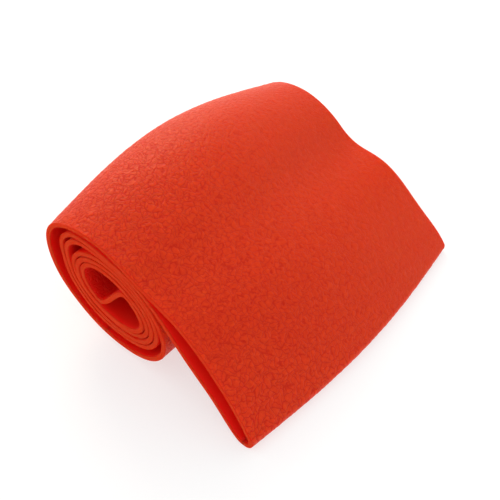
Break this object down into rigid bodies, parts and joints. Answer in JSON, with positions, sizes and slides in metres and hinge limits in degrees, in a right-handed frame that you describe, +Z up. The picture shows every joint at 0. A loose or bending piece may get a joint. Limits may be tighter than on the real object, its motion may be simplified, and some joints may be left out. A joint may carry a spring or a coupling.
{
  "type": "grip tape roll",
  "caption": "Endless leather-grained elastic grip band, flattened double and rolled from one fold, with its outer end left as a liftable tail.",
  "frame": {"origin": "centre of the bounding box in X and Y, on the floor the roll and the tail's fold rest on", "axes": "+Y along the roll across the band's width, towards the far end; +X from the roll to the tail; +Z up"},
  "size_m": [0.0459, 0.05, 0.0233],
  "materials": {
    "band_rubber": "matte"
  },
  "bodies": {
    "roll": {"core_fold": "band_rubber", "inner_turn_lower_ply": "band_rubber", "inner_turn_upper_ply": "band_rubber", "middle_turn_lower_ply": "band_rubber", "middle_turn_upper_ply": "band_rubber", "outer_turn_lower_ply": "band_rubber", "outer_wrap_bottom": "band_rubber", "outer_wrap_top": "band_rubber"},
    "tail": {"tail_upper_ply": "band_rubber", "tail_lower_ply": "band_rubber", "tail_end_fold": "band_rubber"}
  },
  "joints": [
    {"name": "tail_lift", "type": "hinge", "parent": "roll", "child": "tail", "pos_m": [-0.0008, 0, 0.01985], "axis": [0.0617, -0.9957, 0.0697], "range_deg": [0, 70], "stiffness_Nm_per_rad": 0.0007}
  ]
}
